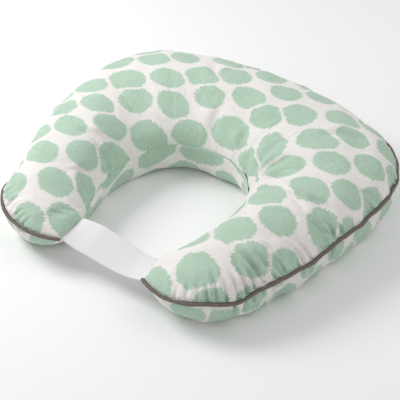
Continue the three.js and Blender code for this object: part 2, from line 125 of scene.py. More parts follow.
def bellyFullness(v):  # a boxier arch under the seams
    return (1 - np.abs(2 * v - 1) ** 2.95) ** (1 / 2.4)


def smooth(x, low, high):  # cubic step from 0 to 1 between low and high
    t = np.clip((x - low) / (high - low), 0, 1)
    return t * t * (3 - 2 * t)


# Sum of sines of nearly one wavelength with seeded random phases, about -1 to 1.
def waves(t, length, seed, count=6):
    draw = np.random.default_rng(seed)
    total = np.zeros_like(t)
    for _ in range(count):
        wave = length * draw.uniform(0.62, 1.6)
        total += np.sin(2 * np.pi * t / wave + draw.uniform(0, 2 * np.pi))
    return total / math.sqrt(count)


def unit(vectors):  # each vector divided by its length
    return vectors / np.maximum(np.linalg.norm(vectors, axis=-1, keepdims=True), 1e-12)


def gridNormals(points, flip=1):  # cross product of the two grid directions
    return flip * unit(np.cross(np.gradient(points, axis=0), np.gradient(points, axis=1)))


def gridQuads(columns, rows, first=0):  # corner numbers of the cells of a grid
    i, j = np.meshgrid(np.arange(columns - 1), np.arange(rows - 1), indexing="ij")
    a = first + (i * rows + j).ravel()
    return np.stack([a, a + rows, a + rows + 1, a + 1], -1)


# A mesh object from vertices, faces and, where given, one flat place on the cloth for each vertex.
def newPiece(name, vertices, faces, uv=None, smoothShade=True):
    mesh = bpy.data.meshes.new(name)
    mesh.from_pydata(np.asarray(vertices).reshape(-1, 3), [], [tuple(face) for face in faces])
    if uv is not None:
        layer = mesh.uv_layers.new(name="cloth")
        corners = np.empty(len(mesh.loops), dtype=np.int32)
        mesh.loops.foreach_get("vertex_index", corners)
        layer.data.foreach_set("uv", np.asarray(uv).reshape(-1, 2)[corners].astype(np.float32).ravel())
    mesh.polygons.foreach_set("use_smooth", np.full(len(mesh.polygons), smoothShade))
    mesh.update()
    piece = bpy.data.objects.new(name, mesh)
    scene.collection.objects.link(piece)
    return piece


def turnOutward(piece):  # faces wound outward
    built = bmesh.new()
    built.from_mesh(piece.data)
    bmesh.ops.recalc_face_normals(built, faces=built.faces)
    built.to_mesh(piece.data)
    built.free()


# A closed thin sheet from two grids: front, back, and a wall along each of the four edges.
def closedSheet(name, front, back, uv):
    columns, rows = front.shape[:2]
    count = columns * rows
    quads = gridQuads(columns, rows)
    rim = np.arange(count).reshape(columns, rows)
    loop = np.concatenate([rim[:-1, 0], rim[-1, :-1], rim[:0:-1, -1], rim[0, :0:-1]])
    walls = np.stack([loop, loop + count, np.roll(loop, -1) + count, np.roll(loop, -1)], -1)
    corners = np.concatenate([front.reshape(-1, 3), back.reshape(-1, 3)])
    faces = np.concatenate([quads, quads[:, ::-1] + count, walls])
    piece = newPiece(name, corners, faces, np.concatenate([uv.reshape(-1, 2)] * 2))
    turnOutward(piece)
    return piece


body = {
    "columns": 281,
    "rows": 41,
    "startShare": 0.935,  # the cloth starts this full and is blown up from there
    "pressure": 3.0,
    "extraCloth": 0.03,  # the cloth is cut this much larger than the skin it starts on
    "frames": 20,
    "farthest": 0.0075,
}
station = np.linspace(-outerLength, outerLength, body["columns"])
across = (1 - np.cos(np.linspace(0, np.pi, body["rows"]))) / 2
across[-4:-2] = (0.98987, 0.99695)  # rows along the two edges of the zip opening


# The top or the underside: shares between the seams, lifted or dropped by the fullness along and across.
def bodySide(isTop, swell=1.0):
    share = np.abs(station)[:, None] / outerLength
    side = np.where(station < 0, -1.0, 1.0)
    outer = outerSeam(station)[0]
    inner = innerSeam(share[:, 0], side)
    v = across[None, :]
    plan = inner[:, None] * (1 - v[..., None]) + outer[:, None] * v[..., None]
    level = surfaceLevel(share, v)
    if isTop:
        height = level + swell * outline["crownRise"] * armFullness(share) * crownFullness(v)
    else:
        depth = swell * outline["bellyDrop"] * armFullness(share) * bellyFullness(v)
        height = np.maximum(level - depth, 0)
    return np.concatenate([plan, height[..., None]], -1)


zipPlace = {
    "half": 0.17608,  # half the length of the opening
    "recess": 0.0015,  # panel edges inside the outer seam
    "coilDrop": 0.0205,  # middle of the coils below the outer seam
}


# The underside near the zip stands upright just inside the seam, and eases back into the belly round it.
def besideZip(grid, full):
    drop = seamLevel(np.abs(station) / outerLength)[:, None] - full[..., 2]
    weight = smooth(drop, 0.004, 0.009) * (1 - smooth(drop, 0.034, 0.050))
    pastZip = smooth(np.abs(station), zipPlace["half"] + 0.01, zipPlace["half"] + 0.045)
    weight = weight * (1 - pastZip)[:, None]
    weight = (weight * (across[None, :] > 0.9))[..., None]
    outer, inward = outerSeam(station)
    target = full.copy()
    target[..., :2] = (outer + zipPlace["recess"] * inward)[:, None]
    return grid * (1 - weight) + target * weight


# Numbers of the corners of both sides in one closed mesh: the underside shares the rim of the top.
def closedNumbers(columns, rows):
    top = np.arange(columns * rows).reshape(columns, rows)
    under = top.copy()
    under[1:-1, 1:-1] = columns * rows + np.arange((columns - 2) * (rows - 2)).reshape(columns - 2, -1)
    return top, under


def closedFaces(top, under):  # quads of both sides, wound to face out
    upper = np.stack([top[:-1, :-1], top[:-1, 1:], top[1:, 1:], top[1:, :-1]], -1)
    lower = np.stack([under[:-1, :-1], under[1:, :-1], under[1:, 1:], under[:-1, 1:]], -1)
    return upper.reshape(-1, 4)[:, ::-1], lower.reshape(-1, 4)[:, ::-1]


# Blows the closed skin up with the seams held, and keeps each point within a set distance of its start.
def blowUp(topGrid, underGrid):
    columns, rows = topGrid.shape[:2]
    top, under = closedNumbers(columns, rows)
    start = np.concatenate([topGrid.reshape(-1, 3), underGrid[1:-1, 1:-1].reshape(-1, 3)])
    skin = newPiece("skin", start, np.concatenate(closedFaces(top, under)))
    seam = skin.vertex_groups.new(name="seam")
    byZip = under[np.abs(station) < zipPlace["half"] + 0.02][:, -6:].ravel()
    held = np.concatenate([top[0], top[-1], top[1:-1, 0], top[1:-1, -1], byZip])
    seam.add([int(k) for k in held], 1.0, "REPLACE")
    cloth = skin.modifiers.new("cloth", "CLOTH")
    settings = cloth.settings
    settings.quality = 6
    settings.mass = 0.2
    settings.tension_stiffness = 20
    settings.compression_stiffness = 12
    settings.shear_stiffness = 6
    settings.bending_stiffness = 0.08
    settings.air_damping = 2
    settings.use_pressure = True
    settings.uniform_pressure_force = body["pressure"]
    settings.shrink_min = -body["extraCloth"]
    settings.vertex_group_mass = "seam"
    settings.effector_weights.gravity = 0
    cloth.collision_settings.use_collision = False
    cloth.point_cache.frame_end = body["frames"]
    for step in range(1, body["frames"] + 1):
        scene.frame_set(step)
    shaped = skin.evaluated_get(bpy.context.evaluated_depsgraph_get()).to_mesh()
    after = np.empty(len(shaped.vertices) * 3)
    shaped.vertices.foreach_get("co", after)
    after = after.reshape(-1, 3)
    bpy.data.objects.remove(skin)
    scene.frame_set(1)
    moved = after - start
    far = np.linalg.norm(moved, axis=1, keepdims=True)
    moved *= body["farthest"] * np.tanh(far / body["farthest"]) / np.maximum(far, 1e-9)
    towardTip = smooth(outerLength - np.abs(station), 0.012, 0.055)
    calm = np.repeat(towardTip, rows)
    inside = np.repeat(towardTip[1:-1], rows - 2)
    moved *= np.concatenate([calm, inside])[:, None]
    print("  cloth moved on average", round(float(far.mean()) * 1000, 1), "mm")
    settled = start + moved
    return settled[top], settled[under]


def finer(grid, axis):  # a new line half way between each pair, on a cubic through four neighbours
    lines = np.moveaxis(grid, axis, 0)
    padded = np.concatenate([2 * lines[:1] - lines[1:2], lines, 2 * lines[-1:] - lines[-2:-1]])
    middle = (9 * (padded[1:-2] + padded[2:-1]) - padded[:-3] - padded[3:]) / 16
    made = np.empty((2 * len(lines) - 1,) + lines.shape[1:])
    made[0::2] = lines
    made[1::2] = middle
    return np.moveaxis(made, 0, axis)


# Wander of the outer seam, outward and upward: small waves, a shallow step near the front of the right arm,
# and both flanks set in a little, the left one lower too.
def seamWander(at):
    nearTip = smooth(np.abs(at), outerLength - 0.05, outerLength - 0.02)
    free = smooth(np.abs(at), 0.205, 0.26) * (1 - nearTip)
    out = 0.0007 * waves(at, 0.055, 3) - 0.0024 * np.exp(-((at - 0.655) / 0.016) ** 2)
    out = out + 0.0014 * np.exp(-((at - 0.615) / 0.018) ** 2)
    up = 0.0011 * waves(at, 0.085, 4) - 0.0030 * np.exp(-((at - 0.672) / 0.018) ** 2)
    up = up + 0.0022 * np.exp(-((at - 0.620) / 0.022) ** 2)
    left = smooth(-at, 0.21, 0.30) * (1 - smooth(-at, 0.61, 0.70))
    right = smooth(at, 0.22, 0.32) * (1 - smooth(at, 0.46, 0.56))
    return out * free - 0.0085 * left - 0.0028 * right, up * free - 0.0085 * left


def followSeam(grid, fine):  # the wander fades over about 30 mm from the seam
    out, up = seamWander(fine)
    outward = -outerSeam(fine)[1]
    away = np.linalg.norm(grid - grid[:, -1:], axis=-1)
    fade = np.exp(-(away / 0.022) ** 2)
    moved = grid.copy()
    moved[..., :2] += fade[..., None] * out[:, None, None] * outward[:, None]
    moved[..., 2] += fade * up[:, None]
    return moved


# Gathers along a sewn edge: rounded puffs between sharp valleys, of uneven pitch, length and depth,
# rising over the first millimetres and dying out within a few centimetres.
def gathers(fine, away, pitch, depth, reach, seed, strength):
    phase = fine / pitch + 0.55 * waves(fine, 5.5 * pitch, seed)
    slant = 0.25 * waves(fine, 0.13, seed + 1)
    wave = phase[:, None] + slant[:, None] * away / pitch
    puff = np.abs(np.sin(np.pi * wave)) ** 0.5 - 0.76
    size = 0.75 + 0.35 * np.clip(waves(fine, 0.034, seed + 2), -1, 1)
    length = reach * (0.8 + 0.6 * np.clip(waves(fine, 0.045, seed + 3), -1, 1) ** 2)
    profile = smooth(away, 0, 0.004) * np.exp(-(away / length[:, None]) ** 1.5)
    return depth * (strength * size)[:, None] * profile * puff


# Long soft folds on the top, each a valley with a low ridge beside it, from one end to the other in plan.
folds = (
    ((0.152, 0.116), (0.226, 0.153), 0.0022, 0.008),
    ((0.172, -0.028), (0.222, -0.046), 0.0020, 0.0065),
    ((0.212, -0.014), (0.264, -0.026), 0.0022, 0.0070),
    ((-0.172, -0.074), (-0.104, -0.085), 0.0032, 0.0065),
    ((-0.150, -0.060), (-0.104, -0.070), 0.0026, 0.0055),
    ((0.100, -0.004), (0.060, 0.060), 0.0024, 0.0075),
    ((0.102, -0.002), (0.098, 0.070), 0.0024, 0.0070),
    ((0.103, -0.004), (0.138, 0.055), 0.0026, 0.0075),
    ((0.104, -0.010), (0.160, 0.020), 0.0024, 0.0070),
    ((0.104, -0.016), (0.172, -0.030), 0.0024, 0.0075),
    ((-0.092, -0.150), (-0.128, -0.122), 0.0020, 0.0070),
    ((-0.010, 0.058), (-0.022, 0.104), 0.0018, 0.0080),
    ((0.050, 0.048), (0.036, 0.088), 0.0018, 0.0070),
    ((0.206, -0.130), (0.236, -0.140), 0.0018, 0.0060),
    ((-0.215, -0.030), (-0.262, -0.010), 0.0018, 0.0080),
    ((-0.060, 0.150), (-0.100, 0.196), 0.0014, 0.0090),
)


# Sharp creases that start at the outer seam: distance along the seam, reach, depth, half width and slant.
topCreases = (
    (0.762, 0.029, 0.0016, 0.0020, -0.30),
    (0.745, 0.041, 0.0020, 0.0022, -0.25),
    (0.728, 0.049, 0.0023, 0.0024, -0.20),
    (0.714, 0.034, 0.0019, 0.0018, -0.15),
    (0.700, 0.066, 0.0040, 0.0024, -0.10),
    (0.686, 0.044, 0.0040, 0.0018, -0.08),
    (0.669, 0.060, 0.0050, 0.0022, -0.04),
    (0.653, 0.074, 0.0054, 0.0026, 0.00),
    (0.640, 0.046, 0.0040, 0.0018, 0.06),
    (0.624, 0.078, 0.0054, 0.0026, 0.12),
    (0.606, 0.060, 0.0046, 0.0022, 0.15),
    (0.586, 0.040, 0.0036, 0.0020, 0.15),
    (0.552, 0.044, 0.0042, 0.0020, 0.12),
    (0.537, 0.054, 0.0044, 0.0022, 0.20),
    (0.484, 0.048, 0.0046, 0.0020, -0.15),
    (0.468, 0.038, 0.0040, 0.0018, -0.10),
    (0.390, 0.036, 0.0028, 0.0024, 0.10),
    (0.310, 0.040, 0.0028, 0.0026, 0.15),
    (0.262, 0.036, 0.0024, 0.0026, -0.10),
    (-0.245, 0.036, 0.0024, 0.0026, 0.10),
    (-0.300, 0.042, 0.0028, 0.0028, -0.15),
    (-0.395, 0.036, 0.0026, 0.0026, 0.10),
    (-0.625, 0.036, 0.0019, 0.0022, 0.18),
    (-0.645, 0.047, 0.0024, 0.0024, 0.12),
    (-0.668, 0.050, 0.0027, 0.0022, 0.05),
    (-0.692, 0.041, 0.0024, 0.0020, 0.00),
    (-0.715, 0.049, 0.0027, 0.0024, -0.10),
    (-0.741, 0.036, 0.0022, 0.0020, -0.15),
    (-0.762, 0.029, 0.0017, 0.0018, -0.20),
)
underCreases = tuple(
    (at + 0.004, 0.7 * reach, 0.7 * depth, width, -slant)
    for at, reach, depth, width, slant in topCreases
    if abs(at) > 0.25
)


def creaseDepth(fine, away, creases):  # a narrow valley between two soft ridges, fading along its reach
    total = np.zeros_like(away)
    for at, reach, depth, width, slant in creases:
        side = (fine[:, None] - at - slant * away) / (width * (1 + 14 * away))
        fade = smooth(away, 0, 0.005) * (1 - smooth(away, 0.35 * reach, reach))
        total -= depth * fade * (np.exp(-side ** 2) - 0.45 * np.exp(-((np.abs(side) - 2.1) / 1.2) ** 2))
    return total


# Height of the folds at each place in plan: a bell valley along a bowed line, with half a ridge beside it.
def foldDepth(x, y):
    total = np.zeros_like(x)
    for start, end, depth, width in folds:
        along = np.array(end) - np.array(start)
        length = math.hypot(*along)
        along = along / length
        u = ((x - start[0]) * along[0] + (y - start[1]) * along[1]) / length
        bend = 0.12 * length * np.sin(np.pi * np.clip(u, 0, 1))
        side = (y - start[1]) * along[0] - (x - start[0]) * along[1] - bend
        ends = smooth(u, -0.12, 0.25) * (1 - smooth(u, 0.55, 1.15))
        valley = np.exp(-(side / width) ** 2) - 0.55 * np.exp(-((side - 1.9 * width) / (1.3 * width)) ** 2)
        total -= depth * ends * valley
    return total


# Where the gathers are strong along the seam: middle, half width and share added to the least strength.
gatherHills = (
    (0.65, 0.07, 0.85),
    (0.47, 0.07, 0.45),
    (-0.70, 0.09, 0.30),
    (0.29, 0.07, 0.25),
    (-0.29, 0.07, 0.25),
)
leastGather = 0.32


# Strength of the gathers: the least plus a bell for each hill, fading to nothing at the tips.
def gatherStrength(fine):
    strength = np.full_like(fine, leastGather)
    for middle, width, share in gatherHills:
        strength += share * np.exp(-((fine - middle) / width) ** 2)
    return strength * (1 - smooth(np.abs(fine), outerLength - 0.05, outerLength - 0.012))


def lengthFrom(grid, last):  # distance of each point from the first or the last row, along its own column
    steps = np.linalg.norm(np.diff(grid, axis=1), axis=-1)
    run = np.concatenate([np.zeros((len(grid), 1)), np.cumsum(steps, axis=1)], 1)
    return run[:, -1:] - run if last else run


sewing = {
    "fineGathers": (0.0130, 0.0032, 0.022),  # pitch, depth and reach
    "broadGathers": (0.029, 0.0026, 0.046),
    "innerGathers": (0.018, 0.0020, 0.026),
    "innerGroove": (0.0016, 0.004),  # depth and half width
    "underShare": 0.6,  # gathers of the underside against those of the top
    "foldShare": 1.9,
    "openingBulge": 0.0065,  # how far the underside stands out round the opening
    "lump": 0.0007,
    "rimGap": (0.0008, 0.004),  # height between the panels at the seam, and how fast it fades
    "beyondSeam": 0.0004,  # cloth further out than this is drawn back by the share below
    "drawnBack": 0.7,
}


# Adds the sewn and pulled details to one side as heights along its normals, and draws in what passes the seam.
def detailed(grid, fine, isTop):
    grid = followSeam(grid, fine)
    fromOuter = lengthFrom(grid, True)
    fromInner = lengthFrom(grid, False)
    out = gridNormals(grid, 1 if isTop else -1)
    seed = 20 if isTop else 40
    strength = gatherStrength(fine)
    if not isTop:
        clearOfZip = smooth(np.abs(fine), zipPlace["half"] + 0.012, zipPlace["half"] + 0.05)
        strength = sewing["underShare"] * strength * clearOfZip
    lift = gathers(fine, fromOuter, *sewing["fineGathers"], seed, strength)
    lift += gathers(fine, fromOuter, *sewing["broadGathers"], seed + 5, strength)
    lift += creaseDepth(fine, fromOuter, topCreases if isTop else underCreases)
    innerTight = 0.35 + 0.65 * np.exp(-((np.abs(fine) - 0.33) / 0.13) ** 2)
    lift += gathers(fine, fromInner, *sewing["innerGathers"], seed + 10, innerTight)
    grooveDepth, grooveWidth = sewing["innerGroove"]
    lift -= grooveDepth * np.exp(-(fromInner / grooveWidth) ** 2)
    if isTop:
        lift += sewing["foldShare"] * foldDepth(grid[..., 0], grid[..., 1])
    else:
        besideOpening = (1 - smooth(np.abs(fine), 0.33, 0.52))[:, None]
        hump = np.sin(np.pi * np.clip(fromInner / 0.10, 0, 1)) ** 2
        lift += sewing["openingBulge"] * besideOpening * hump
    rimFree = smooth(fromOuter, 0, 0.002)
    lumps = sewing["lump"] * waves(grid[..., 0] + 0.6 * grid[..., 1], 0.07, seed + 15)
    lumps += sewing["lump"] * waves(grid[..., 1] - 0.5 * grid[..., 0], 0.06, seed + 16)
    lift += lumps * smooth(fromOuter, 0.01, 0.05) * smooth(fromInner, 0.01, 0.05)
    if not isTop:
        zipSide = (np.abs(fine) < zipPlace["half"] + 0.03)[:, None] & (fromOuter < 0.05)
        lift = np.where(zipSide, 0, lift)
    shaped = grid + (lift * rimFree)[..., None] * out
    rimGap, rimFade = sewing["rimGap"]
    gap = rimGap * np.exp(-fromOuter / rimFade)
    shaped[..., 2] += gap if isTop else -gap
    outer, inward = outerSeam(fine)
    beyond = -np.sum((shaped[..., :2] - outer[:, None]) * inward[:, None], axis=-1)
    tooFar = np.maximum(beyond - sewing["beyondSeam"], 0)
    excess = np.where(fromOuter < 0.06, sewing["drawnBack"] * tooFar, 0)
    shaped[..., :2] += excess[..., None] * inward[:, None]
    return shaped


print("pillow body")
topGrid = bodySide(True, body["startShare"])
underGrid = bodySide(False, body["startShare"])
topGrid, underGrid = blowUp(topGrid, underGrid)
underGrid = besideZip(underGrid, bodySide(False))
underGrid[..., 2] = np.maximum(underGrid[..., 2], 0)
for axis in (0, 0, 1):
    topGrid = finer(topGrid, axis)
    underGrid = finer(underGrid, axis)
fineStation = np.linspace(-outerLength, outerLength, len(topGrid))
calmTop = followSeam(topGrid, fineStation)
calmUnder = followSeam(underGrid, fineStation)
topGrid = detailed(topGrid, fineStation, True)
underGrid = detailed(underGrid, fineStation, False)
underGrid[..., 2] = np.maximum(underGrid[..., 2], 0)


# Flat cut of a side: middle of each section in plan, plus the distance along the section from its middle.
def clothPlace(grid):
    run = lengthFrom(grid, False)
    half = run[:, -1:] / 2
    middle = (grid[:, 0, :2] + grid[:, -1, :2]) / 2
    toward = unit(grid[:, -1, :2] - grid[:, 0, :2])
    return middle[:, None] + toward[:, None] * (run - half)[..., None]


pinch = {
    "centre": (0.095, 0.008),
    "opened": 0.024,  # how far the print is moved away from the centre, fading over the reach
    "reach": 0.10,
    "printScale": 0.93,
    "frontShrink": 0.12,  # taken off the scale towards the front right
}


# Cloth pulled together at the right corner of the opening: the print is squeezed towards that point.
def pulledTogether(flat):
    centre = np.array(pinch["centre"])
    apart = flat - centre
    far = np.linalg.norm(apart, axis=-1, keepdims=True)
    moved = pinch["opened"] * np.clip(1 - far / pinch["reach"], 0, 1)
    frontRight = smooth(flat[..., 0:1], -0.02, 0.14) * smooth(-flat[..., 1:2], -0.08, 0.08)
    scale = pinch["printScale"] - pinch["frontShrink"] * frontRight
    return centre + scale * apart + apart / np.maximum(far, 1e-6) * moved


# One panel as a closed thin shell: outer and inner surface, joined along its edges and round its opening.
def clothShell(name, grid, isTop, thickness, uv, hole=None):
    columns, rows = grid.shape[:2]
    out = gridNormals(grid, 1 if isTop else -1)
    inside = grid - thickness * out
    count = columns * rows
    number = np.arange(count).reshape(columns, rows)
    kept = np.ones((columns - 1, rows - 1), dtype=bool)
    if hole is not None:
        kept[hole] = False
    quads = gridQuads(columns, rows)
    outer = quads[kept.ravel()]
    if not isTop:
        outer = outer[:, ::-1]
    inner = outer[:, ::-1] + count
    sides = np.concatenate([outer[:, [0, 1]], outer[:, [1, 2]], outer[:, [2, 3]], outer[:, [3, 0]]])
    keys = np.sort(sides, axis=1)
    _, first, uses = np.unique(keys[:, 0] * count + keys[:, 1], return_index=True, return_counts=True)
    edge = sides[first[uses == 1]]
    walls = np.stack([edge[:, 1], edge[:, 0], edge[:, 0] + count, edge[:, 1] + count], -1)
    vertices = np.concatenate([grid.reshape(-1, 3), inside.reshape(-1, 3)])
    bothUv = np.concatenate([uv.reshape(-1, 2)] * 2)
    piece = newPiece(name, vertices, np.concatenate([outer, inner, walls]), bothUv)
    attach(piece, "pillow")
    return piece


zipColumns = np.abs(fineStation) <= zipPlace["half"]
zipRows = np.arange(topGrid.shape[1] - 7, topGrid.shape[1] - 5)
zipCells = np.ix_(np.flatnonzero(zipColumns[:-1] & zipColumns[1:]), zipRows)
clothThickness = 0.0008
underPrintShift = 0.031
print("cover panels")
topPlace = pulledTogether(clothPlace(topGrid))
underPlace = clothPlace(underGrid) + underPrintShift
coverTop = clothShell("cover_top", topGrid, True, clothThickness, topPlace)
coverBottom = clothShell("cover_bottom", underGrid, False, clothThickness, underPlace, zipCells)
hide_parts("cover_top_panel")
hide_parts("cover_bottom_panel")


# The calm surface lowered below the deepest crease within a few columns of each point.
def belowCreases(calm, creased, inset, flip):
    out = gridNormals(calm, flip)
    height = np.sum((creased - calm) * out, axis=-1)
    lowest = np.min([np.roll(height, shift, axis=0) for shift in range(-7, 8)], axis=0)
    return (calm + (np.minimum(lowest, 0) - inset)[..., None] * out)[::4, ::2]


# The inner pillow: the same form, further in and with no gathers.
def innerForm(name, inset, nodes):
    top = belowCreases(calmTop, topGrid, inset, 1)
    under = belowCreases(calmUnder, underGrid, inset, -1)
    ends = max(1, int(0.021 / (2 * outerLength / (len(top) - 1))))
    top, under = top[ends:-ends], under[ends:-ends]
    for edge in ((slice(None), 0), (slice(None), -1), (0, slice(None)), (-1, slice(None))):
        top[edge] = (top[edge] + under[edge]) / 2
    numbers = closedNumbers(*top.shape[:2])
    corners = np.concatenate([top.reshape(-1, 3), under[1:-1, 1:-1].reshape(-1, 3)])
    piece = newPiece(name, corners, np.concatenate(closedFaces(*numbers)))
    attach(piece, "pillow")
    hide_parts(*nodes)
    return piece


print("inner pillow")
liner = innerForm("inner_pillow_liner", 0.0045, ("liner_top_panel", "liner_bottom_panel"))
filling = innerForm("fibre_filling_body", 0.0062, ("fibre_filling",))


view = {
    "azimuth": 35.18,
    "elevation": 38.85,
    "distance": 2.2412,
    "target": (0.04656, backY - 0.31453, 0.060),
    "lens": 133.3,
}


def addCamera():  # looks at the target from its azimuth, elevation and distance
    azimuth = math.radians(view["azimuth"])
    elevation = math.radians(view["elevation"])
    away = np.array([
        math.sin(azimuth) * math.cos(elevation),
        -math.cos(azimuth) * math.cos(elevation),
        math.sin(elevation),
    ])
    data = bpy.data.cameras.new("camera")
    data.lens = view["lens"]
    data.sensor_width = 36
    data.clip_end = 20
    camera = bpy.data.objects.new("camera", data)
    camera.location = np.array(view["target"]) + view["distance"] * away
    camera.rotation_euler = (math.pi / 2 - elevation, 0, azimuth)
    scene.collection.objects.link(camera)
    scene.camera = camera


addCamera()


class Nodes:  # short ways to add nodes to one tree
    def __init__(self, tree):
        self.tree = tree

    def add(self, kind, **settings):
        node = self.tree.nodes.new(kind)
        for name, value in settings.items():
            setattr(node, name, value)
        return node

    def feed(self, socket, value):
        if isinstance(value, bpy.types.NodeSocket):
            self.tree.links.new(value, socket)
        elif value is not None:
            socket.default_value = value

    def math(self, operation, a, b=None, c=None, clamp=False):
        node = self.add("ShaderNodeMath", operation=operation, use_clamp=clamp)
        for socket, value in zip(node.inputs, (a, b, c)):
            self.feed(socket, value)
        return node.outputs[0]

    def vector(self, operation, a, b=None, scale=None):
        node = self.add("ShaderNodeVectorMath", operation=operation)
        self.feed(node.inputs[0], a)
        self.feed(node.inputs[1], b)
        if scale is not None:
            self.feed(node.inputs["Scale"], scale)
        return node.outputs["Value"] if operation == "LENGTH" else node.outputs[0]

    def split(self, vector):
        node = self.add("ShaderNodeSeparateXYZ")
        self.feed(node.inputs[0], vector)
        return node.outputs

    def join(self, x, y, z=0.0):
        node = self.add("ShaderNodeCombineXYZ")
        for socket, value in zip(node.inputs, (x, y, z)):
            self.feed(socket, value)
        return node.outputs[0]

    def stretched(self, parts, alongX, alongY):
        return self.join(self.math("MULTIPLY", parts[0], alongX), self.math("MULTIPLY", parts[1], alongY))

    def noise(self, vector, scale, detail=2.0, rough=0.5):
        node = self.add("ShaderNodeTexNoise")
        self.feed(node.inputs["Vector"], vector)
        self.feed(node.inputs["Scale"], scale)
        node.inputs["Detail"].default_value = detail
        node.inputs["Roughness"].default_value = rough
        return node.outputs["Fac"]

    def mix(self, share, a, b):
        node = self.add("ShaderNodeMix", data_type="RGBA")
        self.feed(node.inputs["Factor"], share)
        self.feed(node.inputs["A"], a)
        self.feed(node.inputs["B"], b)
        return node.outputs["Result"]

    def spread(self, value, low, high, newLow=0.0, newHigh=1.0):
        node = self.add("ShaderNodeMapRange", interpolation_type="SMOOTHSTEP")
        self.feed(node.inputs["Value"], value)
        limits = {"From Min": low, "From Max": high, "To Min": newLow, "To Max": newHigh}
        for name, number in limits.items():
            self.feed(node.inputs[name], number)
        return node.outputs["Result"]

    def bump(self, height, depth, strength=1.0, normal=None):
        node = self.add("ShaderNodeBump")
        self.feed(node.inputs["Height"], height)
        node.inputs["Distance"].default_value = depth
        node.inputs["Strength"].default_value = strength
        self.feed(node.inputs["Normal"], normal)
        return node.outputs[0]


# A shared node group, with its sockets and a function that fills it.
def effect(name, inputs, outputs, build):
    group = bpy.data.node_groups.new(name, "ShaderNodeTree")
    for label, kind, value in inputs:
        socket = group.interface.new_socket(name=label, in_out="INPUT", socket_type="NodeSocket" + kind)
        if value is not None:
            socket.default_value = value
    for label, kind in outputs:
        group.interface.new_socket(name=label, in_out="OUTPUT", socket_type="NodeSocket" + kind)
    nodes = Nodes(group)
    made = build(nodes, nodes.add("NodeGroupInput").outputs)
    end = nodes.add("NodeGroupOutput")
    for label, value in made.items():
        nodes.feed(end.inputs[label], value)
    return group


def useEffect(nodes, group, **values):  # adds a group node and feeds its named inputs
    node = nodes.add("ShaderNodeGroup", node_tree=group)
    for label, value in values.items():
        nodes.feed(node.inputs[label.replace("_", " ")], value)
    return node.outputs


def newMaterial(name, roughness, **sockets):  # a Principled material with these socket values
    material = bpy.data.materials.new(name)
    material.use_nodes = True
    nodes = Nodes(material.node_tree)
    shader = material.node_tree.nodes["Principled BSDF"]
    shader.inputs["Roughness"].default_value = roughness
    for label, value in sockets.items():
        shader.inputs[label.replace("_", " ")].default_value = value
    return material, nodes, shader


# Plain weave: two crossed sets of rounded threads, uneven in thickness, with a few long slubs.
def buildWeave(nodes, given):
    place = nodes.vector("SCALE", given["Cloth"], scale=given["Threads"])
    uneven = nodes.noise(given["Cloth"], 160.0, 2.0)
    axes = nodes.split(place)
    warpTurn = nodes.math("MULTIPLY", axes[0], 6.2832)
    weftTurn = nodes.math("MULTIPLY", axes[1], 6.2832)
    warp = nodes.math("SINE", nodes.math("MULTIPLY_ADD", uneven, 1.5, warpTurn))
    weft = nodes.math("SINE", nodes.math("MULTIPLY_ADD", uneven, -1.5, weftTurn))
    crossed = nodes.math("MULTIPLY_ADD", nodes.math("MULTIPLY", warp, weft), 0.25, 0.5)
    parts = nodes.split(given["Cloth"])
    slubAcross = nodes.noise(nodes.stretched(parts, 45.0, 520.0), 1.0, 3.0)
    slubAlong = nodes.noise(nodes.stretched(parts, 520.0, 45.0), 1.0, 3.0)
    slubs = nodes.math("MULTIPLY", nodes.math("ADD", slubAcross, slubAlong), 0.5)
    crinkle = nodes.noise(given["Cloth"], 95.0, 3.0, 0.6)
    height = nodes.math("ADD", nodes.math("MULTIPLY", crossed, 0.30), nodes.math("MULTIPLY", slubs, 0.45))
    height = nodes.math("ADD", height, nodes.math("MULTIPLY", crinkle, 0.8))
    return {"Height": height, "Slubs": slubs}


weave = effect(
    "plain weave",
    [("Cloth", "Vector", None), ("Threads", "Float", 1400.0)],
    [("Height", "Float"), ("Slubs", "Float")],
    buildWeave,
)


ovals = {
    "halfPitch": (0.0445, 0.0335),  # half the spacing of a row across, and of the rows
    "scatter": 0.24,
    "radii": (0.0265, 0.0224),
    "uneven": 0.0050,  # whole range of each radius
    "turn": 0.35,
}


